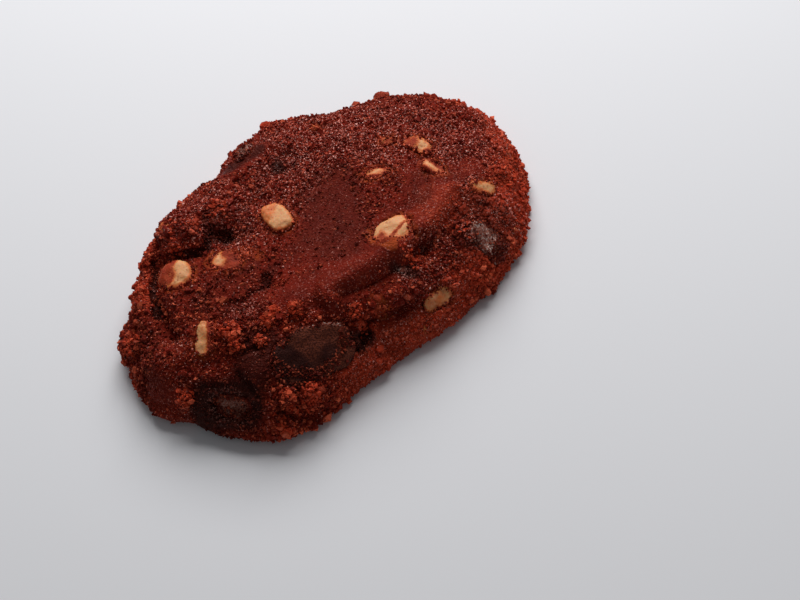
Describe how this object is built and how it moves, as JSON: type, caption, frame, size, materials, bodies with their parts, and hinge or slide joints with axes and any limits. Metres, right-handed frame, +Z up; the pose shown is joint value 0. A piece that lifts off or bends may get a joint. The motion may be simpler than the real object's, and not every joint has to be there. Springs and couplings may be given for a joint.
{
  "type": "red velvet cookie",
  "caption": "Oval soft-baked cookie of crumbly dark red dough with white and dark chocolate pieces, for display and table scenes.",
  "frame": {"origin": "middle of the flat base that the cookie rests on", "axes": "+X along the cookie's length, +Z up out of its top, +Y across its width"},
  "size_m": [0.0752, 0.0494, 0.0142],
  "materials": {
    "dough": "matte",
    "white_chocolate": "satin",
    "dark_chocolate": "satin"
  },
  "bodies": {
    "root": {"dough": "dough", "white_chip_01": "white_chocolate", "white_chip_02": "white_chocolate", "white_chip_03": "white_chocolate", "white_chip_04": "white_chocolate", "white_chip_05": "white_chocolate", "white_chip_06": "white_chocolate", "white_chip_07": "white_chocolate", "white_chip_08": "white_chocolate", "white_chip_09": "white_chocolate", "white_chip_10": "white_chocolate", "white_chip_11": "white_chocolate", "white_chip_12": "white_chocolate", "white_chip_13": "white_chocolate", "white_chip_14": "white_chocolate", "white_chip_15": "white_chocolate", "white_chip_16": "white_chocolate", "white_chip_17": "white_chocolate", "white_chip_18": "white_chocolate", "dark_chunk_01": "dark_chocolate", "dark_chunk_02": "dark_chocolate", "dark_chunk_03": "dark_chocolate", "dark_chunk_04": "dark_chocolate", "dark_chunk_05": "dark_chocolate"}
  },
  "joints": []
}
